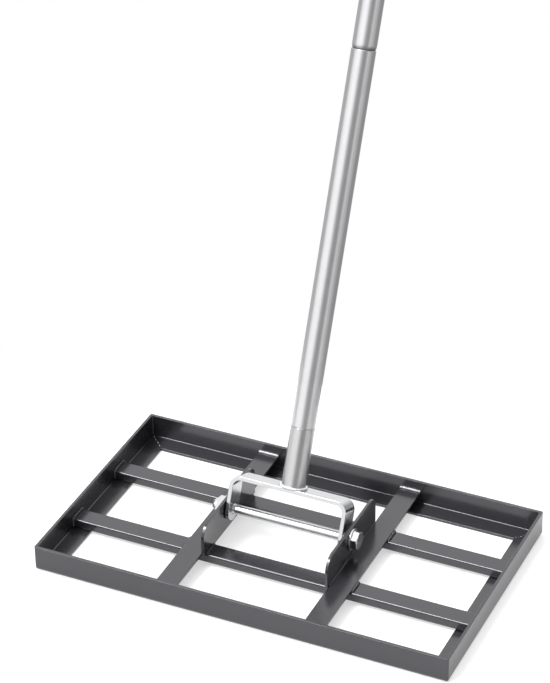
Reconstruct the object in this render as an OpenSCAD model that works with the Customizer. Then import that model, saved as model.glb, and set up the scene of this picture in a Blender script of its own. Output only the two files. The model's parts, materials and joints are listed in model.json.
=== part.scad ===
// Lawn leveling rake: a welded steel grid that is dragged over soil, with a sectional
// steel pole on a yoke that tilts about a long bolt between two bracket plates.
// X runs along the grid's long side, Y from its front to its back, Z up from the ground.
// The origin is on the ground under the front rail's flange, at its middle.

/* [Grid frame] */
// Length of the frame, along X
frame_length = 432; // [380:1:600]
// Width of the frame, along Y
frame_width = 254; // [230:1:360]
// Height of the standing wall of each rail
wall_height = 27.25; // [24:0.25:40]
// Width of the flange that lies on the soil
flange_width = 22; // [16:0.5:30]
// Thickness of the rails' sheet
sheet = 3; // [2:0.5:4]
// Inside radius of the rails' bend
bend_inside = 1; // [0.5:0.25:1.5]
// Radius on the frame's four upright corners
corner_round = 2; // [1:0.5:4]

/* [Bars] */
// Width of a lengthwise tube, along Y
tube_width = 20; // [16:1:26]
// Height of a lengthwise tube
tube_height = 10; // [8:0.5:12]
// Wall of a lengthwise tube
tube_wall = 1.5; // [1:0.25:2]
// Outside corner radius of a lengthwise tube
tube_round = 2; // [1.75:0.25:3]
// Distance of the front tube's middle from the frame's middle
front_tube_y = 43.5; // [38:0.5:56]
// Distance of the back tube's middle from the frame's middle
back_tube_y = 46.5; // [38:0.5:56]
// Width of a cross bar, along X
cross_width = 22; // [16:1:30]
// Thickness of a cross bar
cross_thick = 3; // [2:0.5:5]

// Sideways place of the cross bars, the brackets and the handle from the frame's middle
head_shift = -2; // [-60:0.5:60]

/* [Bracket plates] */
// Clear width between the two bracket plates
bracket_gap = 128; // [120:0.5:150]
// Thickness of a bracket plate
bracket_thick = 3; // [2:0.5:5]
// Height of a bracket plate above the tubes
bracket_height = 34; // [32:1:50]
// Reach of a bracket plate to the front of the middle
bracket_front = 58; // [54:1:70]
// Reach of a bracket plate to the back of the middle
bracket_back = 60; // [54:1:70]
// Radius on a bracket's top front corner
bracket_front_round = 15; // [4:1:24]
// Radius on a bracket's top back corner
bracket_back_round = 11; // [4:1:16]

/* [Pivot bolt] */
// Height of the pivot above the tubes
pivot_rise = 21.5; // [19:0.5:24]
// Place of the pivot along Y
pivot_y = 0; // [-12:1:12]
// Diameter of the pivot bolt
bolt_d = 10; // [8:0.5:12]
// Hexagon of the bolt's head and nut, across flats
hex_flats = 17; // [15:0.5:19]
// Height of the bolt's head
head_height = 6.5; // [5:0.5:9]
// Height of the lock nut with its collar
nut_height = 9; // [7:0.5:12]
// Length of thread that stands out of the nut
bolt_tail = 2; // [1:0.5:6]
// Diameter of a washer
washer_d = 22; // [20:0.5:26]
// Thickness of a washer
washer_thick = 2; // [1:0.5:3]

/* [Yoke] */
// Play of the yoke between the bracket plates, both sides together
yoke_play = 4; // [3:0.5:12]
// Gap between the yoke and the left bracket plate
yoke_side_gap = 1; // [0.3:0.1:1.5]
// Width of the yoke's flat bar
yoke_bar = 24; // [24:0.5:27]
// Thickness of the yoke's flat bar
yoke_thick = 4; // [3:0.5:6]
// Inside radius of the yoke's bends
yoke_bend = 7; // [3:0.5:12]
// Distance from the pivot to the yoke's top face
yoke_reach = 36; // [28:0.5:60]
// Backward lean of the pole from upright
pole_lean = 23; // [0:0.5:60]

/* [Pole sections] */
// Outside diameter of the socket and the lower sections
pole_d = 24; // [22:0.5:24.5]
// Length of the socket on the yoke
socket_length = 61; // [50:1:90]
// Wall of the pole tubes
pole_wall = 1; // [0.8:0.1:1.5]
// Length of one section, from one joint to the next
section_length = 370; // [250:1:500]
// Length of the taper above a joint
taper_length = 5; // [3:0.5:12]
// Depth that a section's neck goes into the piece below
neck_depth = 21; // [12:1:26]
// Diameter of the threaded studs
stud_d = 10; // [8:0.5:12]
// Length of stud below a neck
stud_length = 19; // [12:1:30]
// Length of the plug that holds a stud in its neck
stud_plug = 10; // [5:1:12]

/* [Grip section] */
// Outside diameter of the grip section's tube
grip_pole_d = 20.5; // [20:0.25:21.5]
// Bare length of the grip section's tube
grip_pole_length = 417; // [250:1:600]
// Diameter of the tube inside the grip
grip_tail_d = 15.5; // [13:0.5:16]
// Length of the taper below the grip
grip_taper = 22; // [12:1:40]
// Diameter of the plug at its lower end
plug_d = 17; // [14:0.25:17]
// Length of the plug
plug_length = 38; // [28:1:60]
// Length of the hand grip
grip_length = 94; // [80:1:140]
// Diameter of the grip at its middle
grip_d = 22; // [20:0.5:24]
// Diameter of the grip's two waists
grip_waist_d = 19.2; // [18.6:0.2:20]
// Diameter of the grip's round cap and of its lower flare
grip_flare_d = 24.5; // [24:0.5:28]

/* [Weld beads] */
// Leg of the beads at the ends of the cross bars
cross_weld = 4.5; // [2:0.5:6]
// Leg of the beads at the ends of the tubes
tube_weld = 2; // [1:0.5:2.5]
// Leg of the beads between the cross bars and the tubes under them
crossing_weld = 2.5; // [1:0.5:3]
// Leg of the beads that hold the bracket plates
bracket_weld = 2; // [1:0.5:3]
// Leg of the bead round the foot of the pole socket
socket_weld = 2.5; // [1.5:0.5:4]
// Radius of the beads over the frame's mitres
mitre_weld = 1.2; // [0.8:0.2:2]

/* [Hidden] */
$fn = 64;

// Clearances between pieces that pass through or screw into each other
pivot_clearance = 0.08;
hole_clearance = 0.3;
thread_clearance = 0.05;
slip_clearance = 0.1;

// Half sizes of the frame and faces that other pieces meet
half_length = frame_length / 2;
half_width = frame_width / 2;
wall_face_x = half_length - sheet;
wall_face_y = half_width - sheet;
tube_end_x = wall_face_x - bend_inside;
grid_middle_y = half_width - flange_width / 2;

// Levels above the ground
tube_top = sheet + tube_height;
cross_top = tube_top + cross_thick;
bracket_top = tube_top + bracket_height;
pivot_z = tube_top + pivot_rise;

// Faces of the bracket plates and the cross bars beside them
bracket_inner_x = bracket_gap / 2;
bracket_outer_x = bracket_inner_x + bracket_thick;
cross_middle_x = bracket_outer_x + cross_width / 2;

// Washers and nut along the bolt
washer_outer_x = bracket_outer_x + washer_thick;
nut_outer_x = washer_outer_x + nut_height;
yoke_width = bracket_gap - yoke_play;
hex_corners = hex_flats / cos(30);
nut_collar = nut_height * 0.28;
nut_collar_d = hex_flats * 0.82;
hex_chamfer = 0.8;

// Pole diameters and levels, measured along the pole from the pivot
pole_bore = pole_d - 2 * pole_wall;
neck_mouth_d = pole_bore - 2 * slip_clearance;
neck_end_d = neck_mouth_d - 1.4;
mouth_lip = pole_wall / 2;
socket_top = yoke_reach + socket_length;
insert_length = stud_length + 1;

// Grip section
collar_flange = 2;
grip_foot = socket_top + 3 * section_length + collar_flange;
grip_seat = grip_foot + grip_pole_length;
grip_tail = grip_length - 12;
plug_tube_d = grip_pole_d - 2 * pole_wall;
plug_ring = 0.25;
plug_neck = 0.8;

// Everything is drawn about the grid's middle and moved back from the front rail in one place
module on_grid() {
    translate([0, grid_middle_y, 0])
        children();
}

// Rails

// Cross-section of a rail: x is the distance in from the outer face, y the height
module rail_profile() {
    bend_outside = bend_inside + sheet;
    translate([0, bend_outside])
        square([sheet, wall_height - bend_outside]);
    translate([bend_outside, 0])
        square([flange_width - bend_outside, sheet]);
    intersection() {
        translate([bend_outside, bend_outside])
            difference() {
                circle(r = bend_outside);
                circle(r = bend_inside);
            }
        square(bend_outside);
    }
}

// Upright block over the whole frame, with its corners rounded
module frame_plan() {
    linear_extrude(wall_height)
        rounded_rectangle(frame_length, frame_width, corner_round);
}

// Rectangle about the middle, with round corners
module rounded_rectangle(length, width, radius) {
    square([length - 2 * radius, width], center = true);
    square([length, width - 2 * radius], center = true);
    for (side = [-1, 1], end = [-1, 1])
        translate([side * (length / 2 - radius), end * (width / 2 - radius)])
            circle(r = radius);
}

// Plan of one mitred rail on the -Y side of a frame of the given half sizes
module mitre_plan(half_run, half_across) {
    depth = flange_width + 1;
    linear_extrude(wall_height)
        polygon([
            [-half_run, -half_across], [half_run, -half_across],
            [half_run - depth, -half_across + depth], [-half_run + depth, -half_across + depth]
        ]);
}

// Rail along X on the front side
module long_rail() {
    intersection() {
        translate([-half_length, -half_width, 0])
            rotate([90, 0, 90])
                linear_extrude(frame_length)
                    rail_profile();
        mitre_plan(half_length, half_width);
        frame_plan();
    }
}

// Rail along Y on the left side
module short_rail() {
    intersection() {
        translate([-half_length, half_width, 0])
            rotate([90, 0, 0])
                linear_extrude(frame_width)
                    rail_profile();
        rotate([0, 0, -90])
            mitre_plan(half_width, half_length);
        frame_plan();
    }
}

module front_rail() {
    color("dimgray") on_grid() long_rail();
}

module back_rail() {
    color("dimgray") on_grid() mirror([0, 1, 0]) long_rail();
}

module left_rail() {
    color("dimgray") on_grid() short_rail();
}

module right_rail() {
    color("dimgray") on_grid() mirror([1, 0, 0]) short_rail();
}

// Tubes and bars inside the frame

// Hollow tube that lies on the end rails' flanges
module lengthwise_tube(middle_y) {
    translate([-tube_end_x, middle_y, sheet + tube_height / 2])
        rotate([90, 0, 90])
            linear_extrude(2 * tube_end_x)
                difference() {
                    rounded_rectangle(tube_width, tube_height, tube_round);
                    rounded_rectangle(tube_width - 2 * tube_wall, tube_height - 2 * tube_wall,
                        tube_round - tube_wall);
                }
}

module front_tube() {
    color("dimgray") on_grid() lengthwise_tube(-front_tube_y);
}

module back_tube() {
    color("dimgray") on_grid() lengthwise_tube(back_tube_y);
}

// The cross bars and all that is fixed to them are moved sideways in one place
module on_bars() {
    on_grid()
        translate([head_shift, 0, 0])
            children();
}

// Flat bar that lies on both tubes, between the front and the back wall
module cross_bar(middle_x) {
    translate([middle_x - cross_width / 2, -wall_face_y, tube_top])
        cube([cross_width, 2 * wall_face_y, cross_thick]);
}

module left_cross_bar() {
    color("dimgray") on_bars() cross_bar(-cross_middle_x);
}

module right_cross_bar() {
    color("dimgray") on_bars() cross_bar(cross_middle_x);
}

// Outline of a bracket plate: x is Y, y is the height above the ground
module bracket_profile() {
    front = -bracket_front;
    translate([front, tube_top])
        square([bracket_front + bracket_back, bracket_height - bracket_front_round]);
    translate([front + bracket_front_round, bracket_top - bracket_front_round])
        circle(r = bracket_front_round);
    translate([front + bracket_front_round, tube_top])
        square([bracket_front + bracket_back - bracket_front_round - bracket_back_round, bracket_height]);
    translate([bracket_back - bracket_back_round, bracket_top - bracket_back_round])
        circle(r = bracket_back_round);
    translate([bracket_back - bracket_back_round, tube_top])
        square([bracket_back_round, bracket_height - bracket_back_round]);
}

// Plate beside a cross bar's inner edge, standing on both tubes
module bracket() {
    difference() {
        translate([bracket_inner_x, 0, 0])
            rotate([90, 0, 90])
                linear_extrude(bracket_thick)
                    bracket_profile();
        translate([bracket_inner_x - 1, pivot_y, pivot_z])
            rotate([0, 90, 0])
                cylinder(d = bolt_d + 2 * hole_clearance, h = bracket_thick + 2);
    }
}

module right_bracket() {
    color("dimgray") on_bars() bracket();
}

module left_bracket() {
    color("dimgray") on_bars() mirror([1, 0, 0]) bracket();
}

// Weld beads

// Quarter-round bead along +X, in the corner between a floor and a wall behind it
module corner_bead(length, leg) {
    rotate([90, 0, 90])
        linear_extrude(length)
            intersection() {
                circle(r = leg);
                translate([-leg, 0])
                    square(leg);
            }
}

// Quarter-round bead along +Y, on the +X side of a wall (facing 1) or on its -X side (facing -1)
module bead_along_y(length, leg, facing) {
    translate([0, length, 0])
        rotate([90, 0, 0])
            linear_extrude(length)
                intersection() {
                    circle(r = leg);
                    translate([(facing - 1) / 2 * leg, 0])
                        square(leg);
                }
}

// Beads in the upright corners and over the mitres of the flanges
module corner_welds() {
    mitre_start = bend_inside + mitre_weld;
    mitre_run = (flange_width - sheet - mitre_start - mitre_weld) * sqrt(2);
    upright_run = wall_height - sheet - 2 * bend_inside - corner_round;
    color("gray")
        on_grid()
            for (side = [0, 1], end = [0, 1])
                mirror([side, 0, 0])
                    mirror([0, end, 0])
                        translate([-wall_face_x, -wall_face_y, sheet]) {
                            translate([0, 0, bend_inside])
                                intersection() {
                                    cylinder(r = mitre_weld * 1.4, h = upright_run);
                                    cube([wall_height, wall_height, wall_height]);
                                }
                            translate([mitre_start, mitre_start, 0])
                                rotate([0, 0, 45])
                                    rotate([90, 0, 90])
                                        linear_extrude(mitre_run)
                                            intersection() {
                                                circle(r = mitre_weld);
                                                translate([-mitre_weld, 0])
                                                    square([2 * mitre_weld, mitre_weld]);
                                            }
                        }
}

// Bead round a tube's left end: up both sides and over the top
module tube_end_bead(middle_y) {
    leg = tube_weld + bend_inside;
    flat = tube_width - 2 * tube_round;
    upright = tube_height - tube_round - bend_inside;
    translate([-wall_face_x, middle_y, tube_top - tube_round]) {
        translate([0, -flat / 2, tube_round])
            bead_along_y(flat, leg, 1);
        for (hand = [0, 1])
            mirror([0, hand, 0]) {
                translate([0, tube_width / 2, -upright])
                    intersection() {
                        cylinder(r = leg, h = upright);
                        cube([leg, leg, upright]);
                    }
                translate([0, flat / 2, 0])
                    rotate([0, 90, 0])
                        rotate([0, 0, 90])
                            rotate_extrude(angle = 90)
                                translate([tube_round, 0])
                                    intersection() {
                                        circle(r = leg);
                                        square(leg);
                                    }
            }
    }
}

module tube_welds() {
    color("gray")
        on_grid()
            for (side = [0, 1], place = [-front_tube_y, back_tube_y])
                mirror([side, 0, 0])
                    tube_end_bead(place);
}

// Beads on top of the cross bars' ends, against the front and back walls
module cross_bar_welds() {
    color("silver")
        on_bars()
            for (side = [0, 1], end = [0, 1])
                mirror([side, 0, 0])
                    mirror([0, end, 0])
                        translate([cross_middle_x - cross_width / 2, wall_face_y, cross_top])
                            corner_bead(cross_width, cross_weld);
}

// Beads on the tubes' tops, against the cross bars' outer edges
module crossing_welds() {
    bead_length = tube_width - 2 * tube_round;
    color("gray")
        on_bars()
            for (side = [0, 1], place = [-front_tube_y, back_tube_y])
                mirror([side, 0, 0])
                    translate([bracket_outer_x + cross_width, place - bead_length / 2, tube_top])
                        bead_along_y(bead_length, crossing_weld, 1);
}

// Beads that hold each bracket to the two tubes inside and to the cross bar outside
module bracket_welds() {
    half_flat = tube_width / 2 - tube_round;
    front_start = front_tube_y - half_flat;
    front_end = min(front_tube_y + half_flat, bracket_front - 1);
    back_start = back_tube_y - half_flat;
    back_end = min(back_tube_y + half_flat, bracket_back - 1);
    color("gray")
        on_bars()
            for (side = [0, 1])
                mirror([side, 0, 0]) {
                    translate([bracket_inner_x, back_start, tube_top])
                        bead_along_y(back_end - back_start, bracket_weld, -1);
                    translate([bracket_inner_x, -front_end, tube_top])
                        bead_along_y(front_end - front_start, bracket_weld, -1);
                    translate([bracket_outer_x, -bracket_front + 3, cross_top])
                        bead_along_y(bracket_front + bracket_back - 6, bracket_weld * 0.6, 1);
                }
}

// Pivot bolt and its washers and nut

// Hexagon along +X with its outer corners turned off
module hexagon(height) {
    rotate([0, 90, 0])
        intersection() {
            cylinder(d = hex_corners, h = height, $fn = 6);
            union() {
                cylinder(d = hex_corners + 1, h = height - hex_chamfer);
                translate([0, 0, height - hex_chamfer])
                    cylinder(d1 = hex_corners, d2 = hex_flats * 0.96, h = hex_chamfer);
            }
        }
}

module pivot_bolt() {
    shank = washer_outer_x + nut_outer_x + bolt_tail;
    color("silver")
        on_bars()
            translate([washer_outer_x, pivot_y, pivot_z]) {
                hexagon(head_height);
                rotate([0, -90, 0]) {
                    cylinder(d = bolt_d, h = shank - 1);
                    translate([0, 0, shank - 1])
                        cylinder(d1 = bolt_d, d2 = bolt_d - 2, h = 1);
                }
            }
}

// Washer against the outer face of the right bracket
module washer() {
    translate([bracket_outer_x, pivot_y, pivot_z])
        rotate([0, 90, 0])
            difference() {
                cylinder(d = washer_d, h = washer_thick);
                translate([0, 0, -1])
                    cylinder(d = bolt_d + 2 * hole_clearance, h = washer_thick + 2);
            }
}

module head_washer() {
    color("silver") on_bars() washer();
}

module nut_washer() {
    color("silver") on_bars() mirror([1, 0, 0]) washer();
}

module lock_nut() {
    color("silver")
        on_bars()
            translate([-washer_outer_x, pivot_y, pivot_z])
                mirror([1, 0, 0])
                    difference() {
                        union() {
                            hexagon(nut_height - nut_collar);
                            rotate([0, 90, 0])
                                cylinder(d = nut_collar_d, h = nut_height);
                        }
                        translate([-1, 0, 0])
                            rotate([0, 90, 0])
                                cylinder(d = bolt_d + 2 * thread_clearance, h = nut_height + 2);
                    }
}

// Handle: everything below is drawn upright over the pivot and leaned back in one place

module on_handle() {
    on_bars()
        translate([yoke_side_gap - yoke_play / 2, pivot_y, pivot_z])
            rotate([-pole_lean, 0, 0])
                children();
}

// Bent flat bar, seen from the front: x is X, y the distance from the pivot
module yoke_profile() {
    outside = yoke_bend + yoke_thick;
    side = yoke_width / 2;
    foot = yoke_bar / 2;
    translate([-side + outside, yoke_reach - yoke_thick])
        square([yoke_width - 2 * outside, yoke_thick]);
    for (hand = [0, 1])
        mirror([hand, 0]) {
            translate([side - yoke_thick, -foot])
                square([yoke_thick, yoke_reach - outside + foot]);
            translate([side - outside, yoke_reach - outside])
                intersection() {
                    difference() {
                        circle(r = outside);
                        circle(r = yoke_bend);
                    }
                    square(outside);
                }
        }
}

module yoke() {
    color("gainsboro")
        on_handle()
            difference() {
                intersection() {
                    translate([0, yoke_bar / 2, 0])
                        rotate([90, 0, 0])
                            linear_extrude(yoke_bar)
                                yoke_profile();
                    translate([-yoke_width / 2 - 1, 0, 0])
                        rotate([90, 0, 90])
                            linear_extrude(yoke_width + 2) {
                                circle(d = yoke_bar);
                                translate([-yoke_bar / 2, 0])
                                    square([yoke_bar, yoke_reach]);
                            }
                }
                translate([-yoke_width / 2 - 1, 0, 0])
                    rotate([0, 90, 0])
                        cylinder(d = bolt_d + 2 * pivot_clearance, h = yoke_width + 2);
            }
}

// Open tube with a rounded inner edge at its mouth, standing on the yoke
module pole_socket() {
    color("lightgray")
        on_handle()
            translate([0, 0, yoke_reach])
                rotate_extrude()
                    polygon([
                        [pole_bore / 2, 0], [pole_d / 2, 0],
                        [pole_d / 2, socket_length - mouth_lip],
                        [pole_d / 2 - mouth_lip, socket_length],
                        [pole_bore / 2, socket_length]
                    ]);
}

// Bead round the socket's foot, as far as the yoke's bar reaches
module socket_weld_bead() {
    color("silver")
        on_handle()
            translate([0, 0, yoke_reach])
                intersection() {
                    rotate_extrude()
                        translate([pole_d / 2, 0])
                            intersection() {
                                circle(r = socket_weld);
                                square(socket_weld);
                            }
                    translate([-pole_d, -yoke_bar / 2, 0])
                        cube([2 * pole_d, yoke_bar, pole_d]);
                }
}

// Threaded insert whose top face the neck above stands on
module threaded_insert(mouth, bore) {
    translate([0, 0, mouth - neck_depth - insert_length])
        difference() {
            cylinder(d = bore, h = insert_length);
            translate([0, 0, -1])
                cylinder(d = stud_d + 2 * thread_clearance, h = insert_length + 2);
        }
}

module socket_insert() {
    color("darkgray")
        on_handle()
            threaded_insert(socket_top, pole_bore);
}

// Pole section from the joint at level foot, with a tapered neck that goes into the piece below
module pole_section(foot) {
    top = section_length;
    translate([0, 0, foot])
        rotate_extrude()
            polygon([
                [neck_end_d / 2, -neck_depth],
                [neck_mouth_d / 2, 0],
                [pole_d / 2, taper_length],
                [pole_d / 2, top - mouth_lip],
                [pole_d / 2 - mouth_lip, top],
                [pole_bore / 2, top],
                [pole_bore / 2, taper_length],
                [neck_mouth_d / 2 - pole_wall, 0],
                [neck_end_d / 2 - pole_wall, -neck_depth]
            ]);
}

// Stud in a plug that fills the neck's end
module section_stud(foot) {
    slope = (neck_mouth_d - neck_end_d) / neck_depth;
    plug_top_d = neck_end_d + slope * stud_plug - 2 * pole_wall;
    translate([0, 0, foot - neck_depth]) {
        cylinder(d1 = neck_end_d - 2 * pole_wall, d2 = plug_top_d, h = stud_plug);
        translate([0, 0, -stud_length + 1])
            cylinder(d = stud_d, h = stud_length - 1);
        translate([0, 0, -stud_length])
            cylinder(d1 = stud_d - 2, d2 = stud_d, h = 1);
    }
}

module lower_pole() {
    color("lightgray") on_handle() pole_section(socket_top);
}

module lower_pole_stud() {
    color("dimgray") on_handle() section_stud(socket_top);
}

module lower_pole_insert() {
    color("darkgray") on_handle() threaded_insert(socket_top + section_length, pole_bore);
}

module middle_pole() {
    color("lightgray") on_handle() pole_section(socket_top + section_length);
}

module middle_pole_stud() {
    color("dimgray") on_handle() section_stud(socket_top + section_length);
}

module middle_pole_insert() {
    color("darkgray") on_handle() threaded_insert(socket_top + 2 * section_length, pole_bore);
}

module upper_pole() {
    color("lightgray") on_handle() pole_section(socket_top + 2 * section_length);
}

module upper_pole_stud() {
    color("dimgray") on_handle() section_stud(socket_top + 2 * section_length);
}

// Collar on the upper section's mouth, with a long bore for the ribbed plug
module upper_pole_collar() {
    color("darkgray")
        on_handle()
            translate([0, 0, grip_foot - collar_flange])
                difference() {
                    union() {
                        cylinder(d = pole_d, h = collar_flange);
                        translate([0, 0, -plug_length])
                            cylinder(d = pole_bore, h = plug_length);
                    }
                    translate([0, 0, -plug_length - 1])
                        cylinder(d = plug_d + 2 * plug_ring + 2 * slip_clearance, h = plug_length + collar_flange + 2);
                }
}

// Thinner tube of the grip section, drawn in where the grip goes over it
module grip_pole() {
    taper_start = grip_pole_length - grip_taper;
    bare = grip_pole_d / 2;
    tail = grip_tail_d / 2;
    color("lightgray")
        on_handle()
            translate([0, 0, grip_foot])
                rotate_extrude()
                    polygon([
                        [bare - pole_wall, 0], [bare, 0],
                        [bare, taper_start],
                        [tail, grip_pole_length],
                        [tail, grip_pole_length + grip_tail],
                        [tail - pole_wall, grip_pole_length + grip_tail],
                        [tail - pole_wall, grip_pole_length],
                        [bare - pole_wall, taper_start]
                    ]);
}

// Plug that fills the grip section's foot and goes down into the collar, with a thinner
// neck at its top and a raised ring near its end
module grip_pole_plug() {
    inside = 15;
    neck_length = 5;
    ring_level = 11;
    ring_height = 2;
    color("gray")
        on_handle()
            translate([0, 0, grip_foot]) {
                cylinder(d = plug_tube_d, h = inside);
                translate([0, 0, -neck_length])
                    cylinder(d = plug_d - 2 * plug_neck, h = neck_length);
                translate([0, 0, 1 - plug_length])
                    cylinder(d = plug_d, h = plug_length - neck_length - 1);
                translate([0, 0, -plug_length])
                    cylinder(d1 = plug_d - 2, d2 = plug_d, h = 1);
                translate([0, 0, ring_level - plug_length])
                    cylinder(d = plug_d + 2 * plug_ring, h = ring_height);
            }
}

// Moulded grip: a flare and a thin ring below, a barrel, and a round cap that closes the top
module hand_grip() {
    flare = grip_flare_d / 2;
    barrel = grip_d / 2;
    waist = grip_waist_d / 2;
    cap_foot = grip_length - 8;
    color("dimgray")
        on_handle()
            translate([0, 0, grip_seat])
                difference() {
                    union() {
                        rotate_extrude()
                            polygon([
                                [0, 0], [flare - 0.6, 0], [flare, 0.8], [flare - 0.5, 3],
                                [waist, 8], [waist, 10],
                                [waist + 0.6, 10.4], [waist + 0.6, 11.6], [waist, 12],
                                [waist, 16],
                                [barrel - 0.3, 27], [barrel, grip_length / 2],
                                [barrel - 0.3, grip_length - 33],
                                [waist, grip_length - 19], [waist, grip_length - 15],
                                [flare - 0.4, cap_foot - 1.5], [flare, cap_foot], [0, cap_foot]
                            ]);
                        translate([0, 0, cap_foot])
                            intersection() {
                                shallow_dome(flare, grip_length - cap_foot);
                                cylinder(r = flare + 1, h = grip_length);
                            }
                    }
                    translate([0, 0, -1])
                        cylinder(d = grip_tail_d + 2 * slip_clearance, h = grip_tail + 1);
                }
}

// Shallow dome of the given foot radius and height: the top of a larger ball
module shallow_dome(radius, height) {
    ball = (radius * radius + height * height) / (2 * height);
    translate([0, 0, height - ball])
        sphere(r = ball);
}

front_rail();
back_rail();
left_rail();
right_rail();
front_tube();
back_tube();
left_cross_bar();
right_cross_bar();
left_bracket();
right_bracket();
corner_welds();
tube_welds();
cross_bar_welds();
crossing_welds();
bracket_welds();
pivot_bolt();
head_washer();
nut_washer();
lock_nut();
yoke();
pole_socket();
socket_weld_bead();
socket_insert();
lower_pole();
lower_pole_stud();
lower_pole_insert();
middle_pole();
middle_pole_stud();
middle_pole_insert();
upper_pole();
upper_pole_stud();
upper_pole_collar();
grip_pole();
grip_pole_plug();
hand_grip();
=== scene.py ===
from functools import partial
import json
import math

import bmesh
import bpy
from mathutils import Matrix, Vector


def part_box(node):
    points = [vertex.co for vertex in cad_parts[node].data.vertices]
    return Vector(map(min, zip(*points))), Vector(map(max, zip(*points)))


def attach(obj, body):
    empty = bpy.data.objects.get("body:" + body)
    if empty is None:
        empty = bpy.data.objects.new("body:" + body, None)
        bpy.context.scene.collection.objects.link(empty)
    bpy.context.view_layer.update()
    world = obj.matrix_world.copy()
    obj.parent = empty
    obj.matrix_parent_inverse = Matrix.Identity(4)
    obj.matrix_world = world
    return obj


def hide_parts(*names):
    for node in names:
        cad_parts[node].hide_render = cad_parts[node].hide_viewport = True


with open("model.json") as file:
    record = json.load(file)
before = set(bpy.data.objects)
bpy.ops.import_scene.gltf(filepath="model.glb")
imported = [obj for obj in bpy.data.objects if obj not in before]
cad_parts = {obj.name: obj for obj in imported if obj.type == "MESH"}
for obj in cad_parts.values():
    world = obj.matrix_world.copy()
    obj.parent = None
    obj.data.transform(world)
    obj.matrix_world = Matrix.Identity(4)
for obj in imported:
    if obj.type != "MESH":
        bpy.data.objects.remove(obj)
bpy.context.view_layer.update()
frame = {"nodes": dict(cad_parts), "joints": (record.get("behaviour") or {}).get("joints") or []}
mm = 0.001


# Rails: four lengths of 3 mm steel sheet, bent to an L with a small inside radius, mitred and
# welded into a rectangle that stands on its flanges. The whole grid is coated in dark grey
# powder, which rounds every cut edge a little and has a fine orange peel.
sheet = 3 * mm
bend_inside = 1 * mm
corner_round = 2 * mm
edge_round = 0.5 * mm
top_round = 0.3 * mm
bend_steps = 8
edge_steps = 3
corner_turns = (0, 15, 30, 45)
front_low, front_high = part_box("front_rail")
back_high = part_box("back_rail")[1]
flange = front_high.y - front_low.y
wall_top = back_high.z
half_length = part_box("right_rail")[1].x
half_width = (back_high.y - front_low.y) / 2
grid_middle = Vector((0, (back_high.y + front_low.y) / 2, 0))
coat_grey = (0.0155, 0.015, 0.0175)


def node_in(material, kind, **settings):
    """Adds a shader node; a setting names one of its inputs, or one of its own properties."""
    made = material.node_tree.nodes.new(kind)
    for name, value in settings.items():
        if hasattr(made, name):
            setattr(made, name, value)
        else:
            made.inputs[name.replace("_", " ")].default_value = value
    return made


def new_finish(name, colour, metallic, roughness):
    """A material with its shader, and the place of a point on the object for its patterns."""
    material = bpy.data.materials.new(name)
    material.use_nodes = True
    shader = material.node_tree.nodes["Principled BSDF"]
    shader.inputs["Base Color"].default_value = (*colour, 1)
    shader.inputs["Metallic"].default_value = metallic
    shader.inputs["Roughness"].default_value = roughness
    place = node_in(material, "ShaderNodeTexCoord").outputs["Object"]
    return material, shader, place


def noise(material, place, scale, detail, roughness):
    """A cloudy pattern's value from 0 to 1, with its scale in waves to the metre."""
    pattern = node_in(material, "ShaderNodeTexNoise", Scale=scale, Detail=detail, Roughness=roughness)
    material.node_tree.links.new(place, pattern.inputs["Vector"])
    return pattern.outputs["Fac"]


def shade(colour, share):
    """The same colour, darker or lighter."""
    return [channel * share for channel in colour]


def blended(material, share, first, second):
    """Mixes two colours, each given as numbers or as another node's output."""
    mix = node_in(material, "ShaderNodeMix", data_type="RGBA")
    material.node_tree.links.new(share, mix.inputs["Factor"])
    for colour, socket in ((first, mix.inputs["A"]), (second, mix.inputs["B"])):
        if isinstance(colour, bpy.types.NodeSocket):
            material.node_tree.links.new(colour, socket)
        else:
            socket.default_value = (*colour, 1)
    return mix.outputs["Result"]


def tint(material, shader, share, dark, light):
    """Lets the base colour run between two colours with a pattern's value."""
    material.node_tree.links.new(blended(material, share, dark, light), shader.inputs["Base Color"])


def gloss(material, shader, value, low, high):
    """Lets the roughness run between two values with a pattern's value."""
    change = node_in(material, "ShaderNodeMapRange", To_Min=low, To_Max=high)
    material.node_tree.links.new(value, change.inputs["Value"])
    material.node_tree.links.new(change.outputs["Result"], shader.inputs["Roughness"])


def relief(material, shader, height, strength, depth):
    """Lets a pattern's value stand out of the surface."""
    bump = node_in(material, "ShaderNodeBump", Strength=strength, Distance=depth)
    material.node_tree.links.new(height, bump.inputs["Height"])
    material.node_tree.links.new(bump.outputs["Normal"], shader.inputs["Normal"])


def powder_coat(name):
    """Smooth grey powder with a slow change of tone and fine orange peel."""
    material, shader, place = new_finish(name, coat_grey, metallic=0, roughness=0.2)
    shader.inputs["Specular IOR Level"].default_value = 0.85
    shader.inputs["Specular Tint"].default_value = (0.96, 0.95, 1.0, 1)
    cloud = noise(material, place, scale=38, detail=3, roughness=0.6)
    peel = noise(material, place, scale=700, detail=3, roughness=0.55)
    tint(material, shader, cloud, dark=shade(coat_grey, 0.9), light=shade(coat_grey, 1.1))
    gloss(material, shader, cloud, low=0.16, high=0.24)
    relief(material, shader, peel, strength=1, depth=0.01 * mm)
    return material


coat = powder_coat("dark_grey_powder_coat")


def arc(centre_x, centre_y, radius, start, end, steps):
    """Points along an arc, with its angles in degrees."""
    turns = [math.radians(start + (end - start) * i / steps) for i in range(steps + 1)]
    return [(centre_x + radius * math.cos(t), centre_y + radius * math.sin(t)) for t in turns]


smooth_up_to = math.radians(32)


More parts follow.
